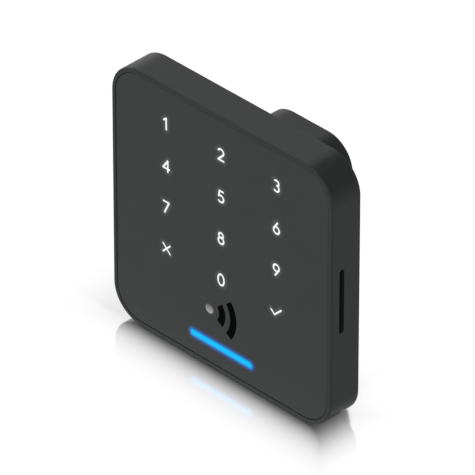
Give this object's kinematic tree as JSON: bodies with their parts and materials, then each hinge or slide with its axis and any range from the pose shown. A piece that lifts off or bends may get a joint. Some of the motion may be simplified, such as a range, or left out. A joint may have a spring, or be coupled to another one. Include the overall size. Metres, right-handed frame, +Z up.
{
  "type": "keypad access reader",
  "caption": "Square wall-mounted access reader with a flush touch keypad, lit legends and light bar, hung on a hooked wall plate.",
  "frame": {"origin": "centre of the wall plate's back face, on the wall, at the middle of the square tile", "axes": "+X to the right as seen from the front, +Y into the wall, +Z up"},
  "size_m": [0.075, 0.0309, 0.075],
  "materials": {
    "housing_black": "fine satin moulded polycarbonate, near black",
    "panel_black": "satin hard-coated touch panel, near black",
    "legend_white": "clear inlay lit white from behind",
    "bar_blue": "clear lens lit azure blue from behind",
    "symbol_gloss": "gloss black inlay",
    "adhesive": "closed-cell acrylic foam tape",
    "film_clear": "smoked polyester film",
    "baffle_white": "white moulded plastic",
    "led_body": "ceramic package with a phosphor face",
    "board_black": "black solder mask on glass epoxy",
    "copper": "copper foil",
    "ferrite": "grey-black sintered ferrite sheet",
    "chip_black": "black moulded epoxy",
    "tinned_steel": "tinned steel sheet",
    "speaker_black": "black moulded frame",
    "mesh_grey": "woven polyester mesh, dark grey",
    "connector_black": "black glass-filled nylon",
    "gold": "gold-plated contact",
    "cover_black": "satin moulded polycarbonate, near black",
    "gasket_grey": "silicone rubber",
    "zinc_screw": "zinc-plated steel",
    "jack_steel": "nickel-plated steel sheet",
    "core_black": "black tape-wrapped transformer core",
    "can_aluminium": "drawn aluminium can",
    "inductor_grey": "pressed iron powder",
    "button_grey": "grey moulded acetal",
    "label_silver": "blank silver polyester label",
    "plate_steel": "black powder-coated sheet steel",
    "screw_steel": "blackened stainless steel"
  },
  "bodies": {
    "wall_plate": {"wall_plate": "plate_steel"},
    "reader": {"housing": "housing_black", "front_panel": "panel_black", "light_bar": "bar_blue", "tap_symbol": "symbol_gloss", "panel_adhesive": "adhesive", "touch_film": "film_clear", "light_baffle": "baffle_white", "keypad_pcb": "board_black", "key_leds": "led_body", "bar_leds": "led_body", "nfc_antenna": "copper", "ferrite_sheet": "ferrite", "reader_chip": "chip_black", "controller_chip": "chip_black", "radio_shield": "tinned_steel", "speaker": "speaker_black", "acoustic_mesh": "mesh_grey", "board_socket": "connector_black", "board_header": "connector_black", "header_pins": "gold", "rear_cover": "cover_black", "rating_label": "label_silver", "cover_gasket": "gasket_grey", "cover_screws": "zinc_screw", "main_pcb": "board_black", "board_screws": "zinc_screw", "jack_shell": "jack_steel", "jack_insert": "connector_black", "jack_contacts": "gold", "transformer": "core_black", "capacitor": "can_aluminium", "inductor": "inductor_grey", "reset_switch": "chip_black", "tamper_switch": "chip_black", "legend_1": "legend_white", "legend_2": "legend_white", "legend_3": "legend_white", "legend_4": "legend_white", "legend_5": "legend_white", "legend_6": "legend_white", "legend_7": "legend_white", "legend_8": "legend_white", "legend_9": "legend_white", "legend_0": "legend_white", "legend_cancel": "legend_white", "legend_ok": "legend_white"},
    "tamper_plunger": {"tamper_plunger": "button_grey"},
    "reset_button": {"reset_button": "button_grey"},
    "screw_ring": {"screw_ring": "zinc_screw"},
    "security_screw": {"security_screw": "screw_steel"}
  },
  "joints": [
    {"name": "reader_lift", "type": "slide", "parent": "wall_plate", "child": "reader", "axis": [0, 0, 1], "range_m": [0, 0.003]},
    {"name": "tamper_press", "type": "slide", "parent": "reader", "child": "tamper_plunger", "axis": [0, -1, 0], "range_m": [0, 0.0004], "stiffness_N_per_m": 400, "springref_m": -0.001},
    {"name": "reset_press", "type": "slide", "parent": "reader", "child": "reset_button", "axis": [0, -1, 0], "range_m": [0, 0.0003], "stiffness_N_per_m": 2000, "springref_m": -0.0005},
    {"name": "screw_turn", "type": "hinge", "parent": "screw_ring", "child": "security_screw", "pos_m": [0, -0.0025, -0.0374], "axis": [0, 0, -1], "range_deg": [0, 2700]},
    {"name": "screw_travel", "type": "slide", "parent": "reader", "child": "screw_ring", "axis": [0, 0, -1], "range_m": [0, 0.003]}
  ],
  "couplings": [
    {"joint": "screw_turn", "follows": "screw_travel", "rad_per_m": 15708}
  ]
}
